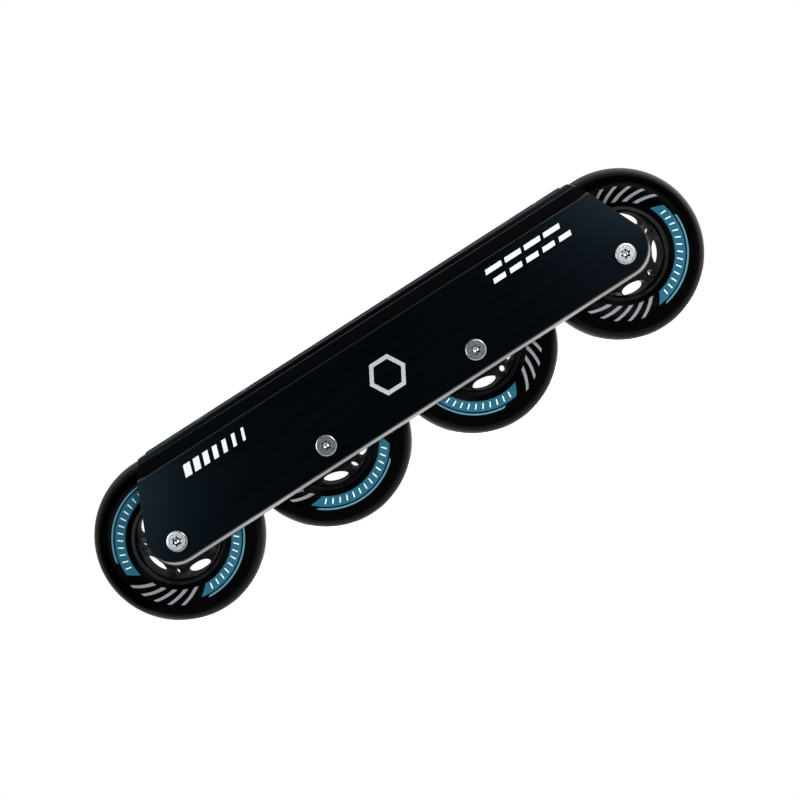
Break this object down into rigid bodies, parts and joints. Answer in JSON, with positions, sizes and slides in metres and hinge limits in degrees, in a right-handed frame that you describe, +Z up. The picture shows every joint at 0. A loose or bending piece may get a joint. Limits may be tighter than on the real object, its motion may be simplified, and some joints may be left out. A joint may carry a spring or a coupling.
{
  "type": "inline skate frame",
  "caption": "Inline skate frame: a slotted channel chassis that carries ball-bearing wheels in one line on two-piece axles, with a bolt-on deck for a boot.",
  "frame": {"origin": "the middle of the deck's top face, halfway between the two boot mounting holes", "axes": "+X along the frame from heel to toe, +Y across it, +Z up out of the deck towards the boot"},
  "size_m": [0.323, 0.041, 0.081],
  "materials": {
    "chassis": "black anodised, satin",
    "tyre": "cast polyurethane, satin",
    "hub": "moulded nylon",
    "bearing_steel": "ground",
    "shield": "pressed sheet",
    "ball": "polished",
    "cage": "moulded nylon",
    "spacer": "turned",
    "axle": "zinc plated"
  },
  "bodies": {
    "frame": {"chassis": "chassis", "inner_races_1": "bearing_steel", "bearing_spacer_1": "spacer", "washers_1": "spacer", "axle_sleeve_1": "axle", "axle_bolt_1": "axle", "inner_races_2": "bearing_steel", "bearing_spacer_2": "spacer", "washers_2": "spacer", "axle_sleeve_2": "axle", "axle_bolt_2": "axle", "inner_races_3": "bearing_steel", "bearing_spacer_3": "spacer", "washers_3": "spacer", "axle_sleeve_3": "axle", "axle_bolt_3": "axle", "inner_races_4": "bearing_steel", "bearing_spacer_4": "spacer", "washers_4": "spacer", "axle_sleeve_4": "axle", "axle_bolt_4": "axle"},
    "wheel_1": {"tyre_1": "tyre", "hub_1": "hub", "outer_races_1": "bearing_steel", "shields_1": "shield"},
    "ball_cage_1": {"cages_1": "cage", "balls_1": "ball"},
    "wheel_2": {"tyre_2": "tyre", "hub_2": "hub", "outer_races_2": "bearing_steel", "shields_2": "shield"},
    "ball_cage_2": {"cages_2": "cage", "balls_2": "ball"},
    "wheel_3": {"tyre_3": "tyre", "hub_3": "hub", "outer_races_3": "bearing_steel", "shields_3": "shield"},
    "ball_cage_3": {"cages_3": "cage", "balls_3": "ball"},
    "wheel_4": {"tyre_4": "tyre", "hub_4": "hub", "outer_races_4": "bearing_steel", "shields_4": "shield"},
    "ball_cage_4": {"cages_4": "cage", "balls_4": "ball"}
  },
  "joints": [
    {"name": "wheel_1_spin", "type": "hinge", "parent": "frame", "child": "wheel_1", "pos_m": [-0.1215, 0, -0.041], "axis": [0, 1, 0], "continuous": true},
    {"name": "ball_cage_1_spin", "type": "hinge", "parent": "frame", "child": "ball_cage_1", "pos_m": [-0.1215, 0, -0.041], "axis": [0, 1, 0], "continuous": true},
    {"name": "wheel_2_spin", "type": "hinge", "parent": "frame", "child": "wheel_2", "pos_m": [-0.0405, 0, -0.041], "axis": [0, 1, 0], "continuous": true},
    {"name": "ball_cage_2_spin", "type": "hinge", "parent": "frame", "child": "ball_cage_2", "pos_m": [-0.0405, 0, -0.041], "axis": [0, 1, 0], "continuous": true},
    {"name": "wheel_3_spin", "type": "hinge", "parent": "frame", "child": "wheel_3", "pos_m": [0.0405, 0, -0.041], "axis": [0, 1, 0], "continuous": true},
    {"name": "ball_cage_3_spin", "type": "hinge", "parent": "frame", "child": "ball_cage_3", "pos_m": [0.0405, 0, -0.041], "axis": [0, 1, 0], "continuous": true},
    {"name": "wheel_4_spin", "type": "hinge", "parent": "frame", "child": "wheel_4", "pos_m": [0.1215, 0, -0.041], "axis": [0, 1, 0], "continuous": true},
    {"name": "ball_cage_4_spin", "type": "hinge", "parent": "frame", "child": "ball_cage_4", "pos_m": [0.1215, 0, -0.041], "axis": [0, 1, 0], "continuous": true}
  ],
  "couplings": [
    {"joint": "ball_cage_1_spin", "follows": "wheel_1_spin", "ratio": 0.63233},
    {"joint": "ball_cage_2_spin", "follows": "wheel_2_spin", "ratio": 0.63233},
    {"joint": "ball_cage_3_spin", "follows": "wheel_3_spin", "ratio": 0.63233},
    {"joint": "ball_cage_4_spin", "follows": "wheel_4_spin", "ratio": 0.63233}
  ]
}
